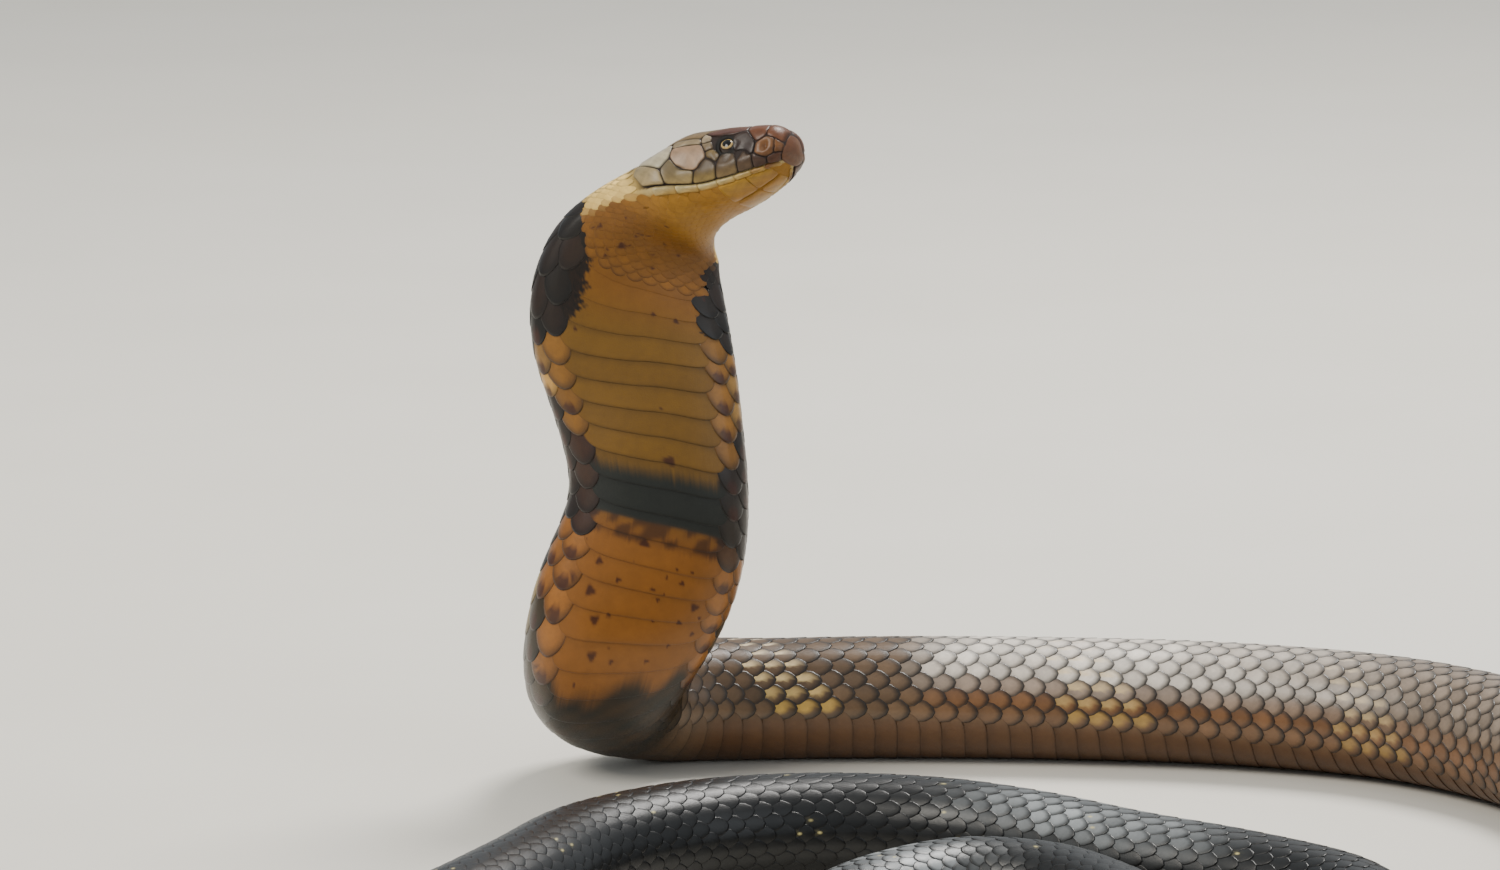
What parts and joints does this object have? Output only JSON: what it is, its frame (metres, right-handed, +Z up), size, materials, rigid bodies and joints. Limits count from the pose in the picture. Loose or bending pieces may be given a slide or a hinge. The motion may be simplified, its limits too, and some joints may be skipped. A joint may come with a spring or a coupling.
{
  "type": "king cobra",
  "caption": "Life-size still model of a king cobra, reared with its hood spread and its body lying in loops on the floor.",
  "frame": {"origin": "on the floor under the middle of the model's outline", "axes": "+Z up; +X to the side that the head looks to; -Y to the side that the belly of the reared part faces"},
  "size_m": [0.596, 0.6708, 0.3011],
  "materials": {
    "head_scales": "smooth, satin",
    "throat_scales": "smooth, satin",
    "body_scales": "scaly, satin",
    "rear_scales": "scaly, glossy",
    "eye": "wet gloss"
  },
  "bodies": {
    "root": {"head": "head_scales", "eye_right": "eye", "eye_left": "eye", "neck": "throat_scales", "hood_upper": "throat_scales", "hood_middle": "throat_scales", "hood_lower": "throat_scales", "forebody": "throat_scales", "base_bend": "body_scales", "body_01": "body_scales", "body_02": "body_scales", "body_03": "body_scales", "body_04": "body_scales", "body_05": "body_scales", "body_06": "body_scales", "body_07": "body_scales", "body_08": "rear_scales", "body_09": "rear_scales", "body_10": "rear_scales", "body_11": "rear_scales", "body_12": "rear_scales", "body_13": "rear_scales", "body_14": "rear_scales", "body_15": "rear_scales", "body_16": "rear_scales", "body_17": "rear_scales", "tail_01": "rear_scales", "tail_02": "rear_scales", "tail_03": "rear_scales", "tail_04": "rear_scales", "tail_05": "rear_scales"}
  },
  "joints": []
}
